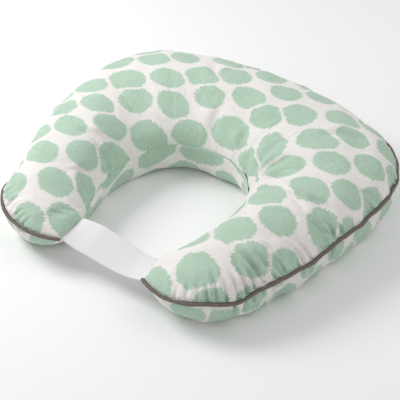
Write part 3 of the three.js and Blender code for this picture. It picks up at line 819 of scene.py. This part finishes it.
# Staggered ovals: round the nearest centre of a jittered slanted lattice, an ellipse of its own size and tilt
# with its edge broken into short bristles. The mask is one inside.
def buildOvals(nodes, given):
    parts = nodes.split(given["Cloth"])
    a = nodes.math("MULTIPLY", parts[0], 0.5 / ovals["halfPitch"][0])
    b = nodes.math("MULTIPLY", parts[1], 0.5 / ovals["halfPitch"][1])
    slanted = nodes.join(nodes.math("ADD", a, b), nodes.math("SUBTRACT", a, b))
    lattice = nodes.vector("ADD", slanted, given["Shift"])
    cell = nodes.add("ShaderNodeTexVoronoi", voronoi_dimensions="2D", feature="F1")
    nodes.feed(cell.inputs["Vector"], lattice)
    cell.inputs["Scale"].default_value = 1.0
    cell.inputs["Randomness"].default_value = ovals["scatter"]
    away = nodes.split(nodes.vector("SUBTRACT", lattice, cell.outputs["Position"]))
    x = nodes.math("MULTIPLY", nodes.math("ADD", away[0], away[1]), ovals["halfPitch"][0])
    y = nodes.math("MULTIPLY", nodes.math("SUBTRACT", away[0], away[1]), ovals["halfPitch"][1])
    chance = nodes.add("ShaderNodeSeparateColor")
    nodes.feed(chance.inputs[0], cell.outputs["Color"])
    angle = nodes.math("MULTIPLY_ADD", chance.outputs[0], 2 * ovals["turn"], -ovals["turn"])
    cosine = nodes.math("COSINE", angle)
    sine = nodes.math("SINE", angle)
    u = nodes.math("ADD", nodes.math("MULTIPLY", x, cosine), nodes.math("MULTIPLY", y, sine))
    v = nodes.math("SUBTRACT", nodes.math("MULTIPLY", y, cosine), nodes.math("MULTIPLY", x, sine))
    shrunk = [radius - ovals["uneven"] / 2 for radius in ovals["radii"]]
    u = nodes.math("DIVIDE", u, nodes.math("MULTIPLY_ADD", chance.outputs[1], ovals["uneven"], shrunk[0]))
    v = nodes.math("DIVIDE", v, nodes.math("MULTIPLY_ADD", chance.outputs[2], ovals["uneven"], shrunk[1]))
    flat = nodes.join(u, v)
    radius = nodes.vector("LENGTH", flat)
    own = nodes.vector("SCALE", cell.outputs["Color"], scale=40.0)
    heading = nodes.vector("ADD", nodes.vector("NORMALIZE", flat), own)
    bristles = nodes.noise(heading, 19.0, 1.0, 0.6)
    wobble = nodes.noise(heading, 1.1, 1.0)
    squared = nodes.math("MULTIPLY", nodes.math("ABSOLUTE", nodes.math("MULTIPLY", u, v)), -0.06)
    reach = nodes.math("ADD", radius, squared)
    reach = nodes.math("ADD", reach, nodes.math("MULTIPLY_ADD", bristles, 0.40, -0.20))
    reach = nodes.math("ADD", reach, nodes.math("MULTIPLY_ADD", wobble, 0.16, -0.08))
    near = nodes.add("ShaderNodeTexVoronoi", voronoi_dimensions="2D", feature="DISTANCE_TO_EDGE")
    nodes.feed(near.inputs["Vector"], lattice)
    near.inputs["Scale"].default_value = 1.0
    near.inputs["Randomness"].default_value = ovals["scatter"]
    crowd = nodes.math("MULTIPLY_ADD", bristles, -0.22, near.outputs["Distance"])
    apart = nodes.spread(crowd, -0.072, -0.062)
    mask = nodes.math("MULTIPLY", nodes.spread(reach, 0.985, 1.015, 1.0, 0.0), apart)
    strokesAcross = nodes.noise(nodes.stretched(parts, 60.0, 420.0), 1.0, 2.0)
    strokesAlong = nodes.noise(nodes.stretched(parts, 420.0, 60.0), 1.0, 2.0)
    strokes = nodes.math("MULTIPLY", nodes.math("ADD", strokesAcross, strokesAlong), 0.5)
    return {"Mask": mask, "Strokes": strokes, "Chance": chance.outputs[1]}


ovalPrint = effect(
    "oval print",
    [("Cloth", "Vector", None), ("Shift", "Vector", None)],
    [("Mask", "Float"), ("Strokes", "Float"), ("Chance", "Float")],
    buildOvals,
)


def printedCotton(name, shift):  # off-white plain weave with the green oval print
    finish = {"Sheen_Weight": 0.25, "Sheen_Roughness": 0.5, "Specular_IOR_Level": 0.2}
    material, nodes, shader = newMaterial(name, 0.88, **finish)
    place = nodes.add("ShaderNodeUVMap", uv_map="cloth").outputs[0]
    threads = useEffect(nodes, weave, Cloth=place)
    dye = useEffect(nodes, ovalPrint, Cloth=place, Shift=shift)
    paleThreads = nodes.spread(threads["Slubs"], 0.35, 0.65)
    ground = nodes.mix(paleThreads, (0.825, 0.790, 0.762, 1), (0.875, 0.850, 0.826, 1))
    deep = nodes.mix(dye["Chance"], (0.400, 0.560, 0.430, 1), (0.430, 0.590, 0.460, 1))
    green = nodes.mix(nodes.spread(dye["Strokes"], 0.34, 0.66), deep, (0.480, 0.640, 0.510, 1))
    greenThreads = nodes.spread(threads["Slubs"], 0.46, 0.70, 0.0, 0.30)
    green = nodes.mix(greenThreads, green, (0.62, 0.76, 0.64, 1))
    nodes.feed(shader.inputs["Base Color"], nodes.mix(dye["Mask"], ground, green))
    nodes.feed(shader.inputs["Normal"], nodes.bump(threads["Height"], 0.0010, 0.65))
    return material


# Plain weave in two tones, read from object coordinates.
def plainCloth(name, light, dark, depth, threads=1400.0, roughness=0.88):
    material, nodes, shader = newMaterial(name, roughness, Sheen_Weight=0.2, Specular_IOR_Level=0.2)
    place = nodes.add("ShaderNodeTexCoord").outputs["Object"]
    made = useEffect(nodes, weave, Cloth=place, Threads=threads)
    nodes.feed(shader.inputs["Base Color"], nodes.mix(nodes.spread(made["Slubs"], 0.3, 0.7), dark, light))
    nodes.feed(shader.inputs["Normal"], nodes.bump(made["Height"], depth, 0.6))
    return material


coverTop.data.materials.append(printedCotton("print cotton, top", (0.0, 0.0, 0.0)))
coverBottom.data.materials.append(printedCotton("print cotton, bottom", (5.3, 2.6, 0.0)))
liningCotton = plainCloth("lining cotton", (0.90, 0.88, 0.84, 1), (0.82, 0.80, 0.76, 1), 0.0004)
hollowFibre = plainCloth("hollow fibre", (0.95, 0.95, 0.94, 1), (0.85, 0.85, 0.84, 1), 0.0015, 300.0)
liner.data.materials.append(liningCotton)
filling.data.materials.append(hollowFibre)


piping = {
    "radius": 0.0026,
    "coreRadius": 0.0015,
    "outside": 0.0033,  # middle of the cord outside the seam
    "endShort": 0.001,
    "flange": 0.004,
    "flangeThickness": 0.0005,
}


def roundSection(steps, sides, radius):  # the same regular polygon at each step
    angles = np.linspace(0, 2 * np.pi, sides + 1)[:-1]
    polygon = np.stack([np.cos(angles), np.sin(angles)], -1)
    return polygon[None] * radius * np.ones((steps, 1, 1))


# Closed tube: a section outline carried along a path, its first axis pointing out, with the ends filled.
def sweep(name, path, outAxis, upAxis, section, closedEnds=True):
    rings = path[:, None] + section[:, :, 0:1] * outAxis[:, None] + section[:, :, 1:2] * upAxis[:, None]
    count, sides = rings.shape[:2]
    i, j = np.meshgrid(np.arange(count - 1), np.arange(sides), indexing="ij")
    a = (i * sides + j).ravel()
    b = (i * sides + (j + 1) % sides).ravel()
    faces = [tuple(f) for f in np.stack([a, b, b + sides, a + sides], -1)]
    if closedEnds:
        faces += [tuple(range(sides))[::-1], tuple(range((count - 1) * sides, count * sides))]
    run = np.concatenate([[0], np.cumsum(np.linalg.norm(np.diff(path, axis=0), axis=1))])
    loop = np.linalg.norm(np.diff(section, axis=1, append=section[:, :1]), axis=-1)
    around = np.cumsum(loop, axis=1) - loop
    uv = np.stack([np.broadcast_to(run[:, None], around.shape), around], -1)
    return newPiece(name, rings, faces, uv)


def pipingPath(steps, outside):  # follows the seam with its wander
    end = outerLength - piping["endShort"]
    at = np.linspace(-end, end, steps)
    out, up = seamWander(at)
    plan, inward = outerSeam(at)
    share = np.abs(at) / outerLength
    path = np.concatenate([plan - (outside + out)[:, None] * inward, (seamLevel(share) + up)[:, None]], 1)
    outAxis = np.concatenate([-inward, np.zeros((steps, 1))], 1)
    return at, path, outAxis, np.tile([0.0, 0.0, 1.0], (steps, 1))


print("piping")
at, path, outAxis, upAxis = pipingPath(1300, piping["outside"])
angle = np.radians(np.linspace(190, 530, 18))
ring = np.stack([np.cos(angle), np.sin(angle)], -1) * piping["radius"]
tail = np.array([[-1, 1], [-1, -1]]) * [piping["radius"] + piping["flange"], piping["flangeThickness"] / 2]
section = np.concatenate([ring, tail])[None] * np.ones((len(at), 1, 1))
pinch = 1 + 0.035 * waves(at, 0.009, 61) + 0.03 * waves(at, 0.03, 62)
section[:, :18] *= pinch[:, None, None]
cover = sweep("piping_cover", path, outAxis, upAxis, section)
core = sweep("piping_core", path, outAxis, upAxis, roundSection(len(at), 10, piping["coreRadius"]))
for piece in (cover, core):
    turnOutward(piece)
    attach(piece, "pillow")
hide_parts("piping_tape")
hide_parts("piping_cord")


# Bias-cut twill: fine diagonal ribs, with darker and paler threads.
def buildTwill(nodes, given):
    parts = nodes.split(given["Cloth"])
    slant = nodes.math("ADD", parts[0], parts[1])
    rib = nodes.math("SINE", nodes.math("MULTIPLY", slant, 6.2832 / 0.0011))
    against = nodes.math("SUBTRACT", parts[0], parts[1])
    cross = nodes.math("SINE", nodes.math("MULTIPLY", against, 6.2832 / 0.0005))
    height = nodes.math("ADD", nodes.math("MULTIPLY", rib, 0.5), nodes.math("MULTIPLY", cross, 0.2))
    return {"Height": height, "Tone": nodes.noise(given["Cloth"], 420.0, 3.0, 0.65)}


clothInput = [("Cloth", "Vector", None)]
heightAndTone = [("Height", "Float"), ("Tone", "Float")]
twill = effect("bias twill", clothInput, heightAndTone, buildTwill)


def pipingCloth():  # taupe bias twill
    material, nodes, shader = newMaterial("piping twill", 0.82, Sheen_Weight=0.15, Specular_IOR_Level=0.25)
    place = nodes.add("ShaderNodeUVMap", uv_map="cloth").outputs[0]
    made = useEffect(nodes, twill, Cloth=place)
    tone = nodes.spread(made["Tone"], 0.3, 0.7)
    taupe = nodes.mix(tone, (0.150, 0.118, 0.098, 1), (0.235, 0.192, 0.165, 1))
    nodes.feed(shader.inputs["Base Color"], taupe)
    nodes.feed(shader.inputs["Normal"], nodes.bump(made["Height"], 0.00025, 0.7))
    return material


cover.data.materials.append(pipingCloth())
coreCotton = plainCloth("piping cord", (0.86, 0.83, 0.78, 1), (0.74, 0.71, 0.66, 1), 0.0004, 900.0)
core.data.materials.append(coreCotton)


band = {
    "thickness": 0.0013,
    "sewIn": 0.008,
    "sewnHeight": 0.050,
    "freeHalf": 0.084,  # half the length that hangs free
    "steps": 120,
    "across": 33,
    "frontKnots": (  # place along the band and height
        (-0.084, 0.049), (-0.060, 0.0425), (0.0, 0.036), (0.035, 0.033), (0.065, 0.041), (0.084, 0.049),
    ),
    "backKnots": (
        (-0.084, 0.051), (-0.060, 0.0595), (-0.030, 0.0600), (0.0, 0.055), (0.045, 0.0455), (0.084, 0.049),
    ),
    "flat": (0.048, 0.172),
}


def bandEdge(knots, x):  # a quartic through the heights of that edge
    at, height = np.array(knots).T
    return np.polyval(np.polyfit(at / band["freeHalf"], height, 4), x / band["freeHalf"])


# The band between the tips: its two edges sag on their own curves, and its ends go level into the seam.
def waistBandPiece():
    length, width = band["steps"], band["across"]
    tipOut = outerSeam(np.array([outerLength]))[0][0]
    half = tipOut[0] + band["sewIn"]
    lean = math.radians(outline["tipLean"])
    along = np.linspace(-1, 1, length)[:, None]
    over = np.linspace(0, 1, width)[None, :]
    x = along * (half - 0.5 * outline["tipSeam"] * math.sin(lean) * over)
    y = tipOut[1] + 0.0005 + band["flat"][0] * over + 0 * x
    sewn = smooth(np.abs(x), tipOut[0] - 0.004, tipOut[0] + 0.004)
    free = np.clip(x, -band["freeHalf"], band["freeHalf"])
    hanging = bandEdge(band["frontKnots"], free) * (1 - over) + bandEdge(band["backKnots"], free) * over
    hanging = hanging + 0.0012 * np.sin(np.pi * over) + 0.0003 * waves(x, 0.05, 70)
    z = hanging * (1 - sewn) + band["sewnHeight"] * sewn
    top = np.stack([x, y, z], -1)
    edgeThin = 1 - 0.35 * np.exp(-(np.minimum(over, 1 - over) / 0.02) ** 2)
    through = band["thickness"] * edgeThin[..., None] * gridNormals(top, 1)
    top = top + 0.5 * through
    flat = np.stack([x, np.broadcast_to(over * band["flat"][0], x.shape)], -1)
    return closedSheet("elastic_waist_band", top, top - through, flat)


print("waist band")
waistBand = waistBandPiece()
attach(waistBand, "pillow")
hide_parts("waist_band")


# Woven elastic: lengthwise cords with fine weft between them.
def buildElastic(nodes, given):
    parts = nodes.split(given["Cloth"])
    cords = nodes.math("ABSOLUTE", nodes.math("SINE", nodes.math("MULTIPLY", parts[1], 3.1416 / 0.0016)))
    weft = nodes.math("SINE", nodes.math("MULTIPLY", parts[0], 6.2832 / 0.0007))
    uneven = nodes.noise(given["Cloth"], 210.0, 2.0)
    height = nodes.math("ADD", nodes.math("MULTIPLY", cords, 0.7), nodes.math("MULTIPLY", weft, 0.18))
    # Tone is one along the cords and nought in the hollows; the band's colour turns it into painted shade
    return {"Height": nodes.math("ADD", height, nodes.math("MULTIPLY", uneven, 0.4)), "Tone": cords}


elastic = effect("woven elastic", clothInput, heightAndTone, buildElastic)


def bandCloth():  # white elastic, with painted shade making the hollows between its cords darker
    finish = {"Sheen_Weight": 0.15, "Specular_IOR_Level": 0.25}
    material, nodes, shader = newMaterial("elastic webbing", 0.78, **finish)
    place = nodes.add("ShaderNodeUVMap", uv_map="cloth").outputs[0]
    made = useEffect(nodes, elastic, Cloth=place)
    unshadedCords = nodes.spread(made["Tone"], 0.0, 0.5)
    # painted shade: the hollows between the cords take the darker grey, the cords the white
    colour = nodes.mix(unshadedCords, (0.70, 0.69, 0.71, 1), (0.845, 0.825, 0.850, 1))
    nodes.feed(shader.inputs["Base Color"], colour)
    nodes.feed(shader.inputs["Normal"], nodes.bump(made["Height"], 0.0003, 0.6))
    return material


waistBand.data.materials.append(bandCloth())


zipParts = {
    "pitch": 0.0015,
    "wire": 0.00032,
    "high": 0.0009,  # half height and half depth of a coil
    "deep": 0.00045,
    "coilApart": 0.0017,  # middle of each coil from the middle of the zip
    "coilInside": 0.0019,
    "stitch": 0.0024,
    "stitchGap": 0.0009,
    "thread": 0.00024,
}


def alongBack(at, inside, drop):  # points beside the straight part of the seam
    plan, inward = outerSeam(at)
    return np.concatenate([plan + inside[:, None] * inward, (outline["seamHeight"] - drop)[:, None]], 1)


def coil(name, side, node):  # one flattened spiral of nylon wire
    turns = int(2 * zipPlace["half"] / zipParts["pitch"])
    phase = np.linspace(0, 2 * np.pi * turns, turns * 14)
    at = np.linspace(-zipPlace["half"], zipPlace["half"], len(phase))
    inside = zipParts["coilInside"] + zipParts["deep"] * np.cos(phase)
    drop = zipPlace["coilDrop"] - side * zipParts["coilApart"] - side * zipParts["high"] * np.sin(phase)
    path = alongBack(at, inside, drop)
    way = unit(np.gradient(path, axis=0))
    outAxis = unit(np.cross(way, [0.0, 0.0, 1.0]) + 1e-6)
    upAxis = unit(np.cross(way, outAxis))
    piece = sweep(name, path, outAxis, upAxis, roundSection(len(path), 6, zipParts["wire"]))
    turnOutward(piece)
    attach(piece, "pillow")
    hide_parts(node)
    return piece


print("zip")
coils = [
    coil("zip_coil_spiral_upper", 1, "zip_upper_coil"),
    coil("zip_coil_spiral_lower", -1, "zip_lower_coil"),
]


# Rows of thread: a spindle-shaped stitch at each centre, laid along its own direction on the cloth.
def stitchRow(name, centres, ways, outs, length, radius):
    rings = np.linspace(-1, 1, 7)
    around = np.linspace(0, 2 * np.pi, 7)[:-1]
    thick = np.sqrt(np.maximum(1 - np.abs(rings) ** 3, 0.02))
    sideways = np.cross(ways, outs)
    base = centres[:, None, None] + ways[:, None, None] * (rings * length / 2)[None, :, None, None]
    base = base + sideways[:, None, None] * (thick[:, None] * np.cos(around) * radius)[None, :, :, None]
    base = base + outs[:, None, None] * (thick[:, None] * np.sin(around) * radius)[None, :, :, None]
    sides = len(around)
    i, j = np.meshgrid(np.arange(len(rings) - 1), np.arange(sides), indexing="ij")
    a = (i * sides + j).ravel()
    b = (i * sides + (j + 1) % sides).ravel()
    quads = np.stack([a, b, b + sides, a + sides], -1)
    caps = np.stack([np.arange(sides), (len(rings) - 1) * sides + np.arange(sides)])
    starts = (len(rings) * sides * np.arange(len(centres)))[:, None, None]
    faces = list((quads + starts).reshape(-1, 4)) + list((caps + starts).reshape(-1, sides))
    piece = newPiece(name, base, faces)
    turnOutward(piece)
    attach(piece, "pillow")
    return piece


# One row of stitches beside the zip, its centres a stitch and a gap apart along the seam.
def zipStitches(name, drop):
    pitch = zipParts["stitch"] + zipParts["stitchGap"]
    end = zipPlace["half"] + 0.004
    at = np.arange(-end, end, pitch)
    inside = np.full(len(at), zipPlace["recess"] - 0.0001)
    centres = alongBack(at, inside, np.full(len(at), drop))
    ahead = alongBack(at + 0.001, inside, np.full(len(at), drop))
    inward = outerSeam(at)[1]
    outs = np.concatenate([-inward, np.zeros((len(at), 1))], 1)
    ways = unit(ahead - centres)
    return stitchRow(name, centres, ways, outs, zipParts["stitch"], zipParts["thread"])


stitching = [zipStitches("zip_stitching_upper", 0.0133), zipStitches("zip_stitching_lower", 0.0277)]


label = {
    "start": 0.228,
    "width": 0.030,
    "drop": 0.022,
    "thickness": 0.0005,
}


# The label hangs from the seam over the underside panel, a little proud of it, and curls out at its end.
def careLabel():
    at = np.linspace(-label["start"] - label["width"], -label["start"], 19)
    down = np.linspace(0.0032, 0.0032 + label["drop"], 15)
    column = np.searchsorted(fineStation, at)
    out = gridNormals(underGrid, -1)
    run = lengthFrom(underGrid, True)
    place = np.empty((len(at), len(down), 3))
    facing = np.empty_like(place)
    for n, k in enumerate(column):
        order = np.argsort(run[k])
        for axis in range(3):
            place[n, :, axis] = np.interp(down, run[k][order], underGrid[k][order, axis])
            facing[n, :, axis] = np.interp(down, run[k][order], out[k][order, axis])
    fallen = np.linspace(0, 1, len(down))[None, :]
    ripple = np.sin(4.5 * np.linspace(0, 1, len(at)))[:, None]
    lift = 0.0011 + 0.0022 * fallen ** 2 + 0.0005 * ripple * fallen
    front = place + lift[..., None] * unit(facing.mean(axis=(0, 1), keepdims=True))
    normal = gridNormals(front, -1)
    back = front - label["thickness"] * normal
    flat = np.stack(np.meshgrid(at, down, indexing="ij"), -1)
    piece = closedSheet("care_label_ribbon", front, back, flat)
    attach(piece, "pillow")
    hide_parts("care_label")
    return piece


print("care label")
ribbon = careLabel()


def satin():  # white woven ribbon with a fine lengthwise grain
    material, nodes, shader = newMaterial("label satin", 0.42, Sheen_Weight=0.2, Anisotropic=0.4)
    place = nodes.add("ShaderNodeUVMap", uv_map="cloth").outputs[0]
    parts = nodes.split(place)
    warp = nodes.noise(nodes.stretched(parts, 2600.0, 120.0), 1.0, 2.0)
    colour = nodes.mix(nodes.spread(warp, 0.3, 0.7), (0.80, 0.80, 0.79, 1), (0.88, 0.88, 0.87, 1))
    nodes.feed(shader.inputs["Base Color"], colour)
    nodes.feed(shader.inputs["Normal"], nodes.bump(warp, 0.00012, 0.6))
    return material


def nylon(name, colour, dull, roughness, grain):  # speckled plastic of uneven gloss
    material, nodes, shader = newMaterial(name, roughness)
    place = nodes.add("ShaderNodeTexCoord").outputs["Object"]
    speckle = nodes.noise(place, grain, 3.0, 0.6)
    nodes.feed(shader.inputs["Base Color"], nodes.mix(nodes.spread(speckle, 0.35, 0.7), colour, dull))
    gloss = nodes.spread(speckle, 0.3, 0.7, roughness - 0.08, roughness + 0.12)
    nodes.feed(shader.inputs["Roughness"], gloss)
    nodes.feed(shader.inputs["Normal"], nodes.bump(speckle, 0.0001, 0.4))
    return material


# Enamel over metal: glossy and even, rubbed thin in small patches where it is handled.
def enamel():
    material, nodes, shader = newMaterial("white enamel", 0.28, Coat_Weight=0.3, Coat_Roughness=0.15)
    place = nodes.add("ShaderNodeTexCoord").outputs["Object"]
    edge = nodes.add("ShaderNodeNewGeometry").outputs["Pointiness"]
    patches = nodes.spread(nodes.noise(place, 900.0, 4.0, 0.7), 0.45, 0.62)
    worn = nodes.math("MULTIPLY", nodes.spread(edge, 0.53, 0.60), patches)
    nodes.feed(shader.inputs["Base Color"], nodes.mix(worn, (0.80, 0.80, 0.78, 1), (0.55, 0.55, 0.54, 1)))
    nodes.feed(shader.inputs["Metallic"], worn)
    nodes.feed(shader.inputs["Normal"], nodes.bump(nodes.noise(place, 1500.0, 2.0), 0.00005, 0.3))
    return material


ribbon.data.materials.append(satin())
spiralNylon = nylon("coil nylon", (0.80, 0.79, 0.75, 1), (0.68, 0.67, 0.63, 1), 0.38, 1400.0)
thread = plainCloth("sewing thread", (0.86, 0.85, 0.82, 1), (0.70, 0.69, 0.66, 1), 0.0001, 3000.0)
for piece in coils:
    piece.data.materials.append(spiralNylon)
for piece in stitching:
    piece.data.materials.append(thread)


def paint(nodeNames, material):  # gives carried-over nodes their finish
    for name in nodeNames:
        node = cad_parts[name]
        node.data.materials.clear()
        node.data.materials.append(material)


zipMetal = ("zip_slider", "zip_pull", "zip_bottom_stop", "zip_top_stop_upper", "zip_top_stop_lower")
zipTape = plainCloth("zip tape", (0.86, 0.85, 0.82, 1), (0.74, 0.73, 0.70, 1), 0.0003, 1800.0)
paint(("zip_upper_tape", "zip_lower_tape"), zipTape)
paint(zipMetal, enamel())
for name in zipMetal:
    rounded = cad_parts[name].modifiers.new("rounded", "BEVEL")
    rounded.width = 0.00018
    rounded.segments = 2
    rounded.limit_method = "ANGLE"


def floorPaint():  # matt white with faint clouding
    material, nodes, shader = newMaterial("studio floor", 0.75, Specular_IOR_Level=0.1)
    place = nodes.add("ShaderNodeTexCoord").outputs["Object"]
    clouds = nodes.noise(place, 3.0, 2.0)
    colour = nodes.mix(clouds, (0.92, 0.92, 0.92, 1), (0.95, 0.95, 0.95, 1))
    nodes.feed(shader.inputs["Base Color"], colour)
    return material


studio = {
    "floorHalf": 3.0,
    "skyStrength": 0.50,
    "lookAt": (0, 0, 0.05),
    "lights": (("key", (-1.25, -0.35, 1.2), 0.8, 19.5), ("fill", (1.1, 0.6, 1.5), 1.8, 7.5)),
}


def areaLight(name, place, size, watts):  # a square soft box that looks at the pillow
    data = bpy.data.lights.new(name, "AREA")
    data.size = size
    data.energy = watts
    lamp = bpy.data.objects.new(name, data)
    lamp.location = place
    toward = mathutils.Vector(studio["lookAt"]) - mathutils.Vector(place)
    lamp.rotation_euler = toward.to_track_quat("-Z", "Y").to_euler()
    scene.collection.objects.link(lamp)


print("floor and light")
reach = studio["floorHalf"]
floorCorners = [(-reach, -reach, 0), (reach, -reach, 0), (reach, reach, 0), (-reach, reach, 0)]
floor = newPiece("studio_floor", floorCorners, [(0, 1, 2, 3)], None, False)
floor.data.materials.append(floorPaint())
world = bpy.data.worlds.new("studio")
world.use_nodes = True
sky = world.node_tree.nodes["Background"]
sky.inputs["Color"].default_value = (1, 1, 1, 1)
sky.inputs["Strength"].default_value = studio["skyStrength"]
scene.world = world
for lightValues in studio["lights"]:
    areaLight(*lightValues)
scene.view_settings.view_transform = "Standard"
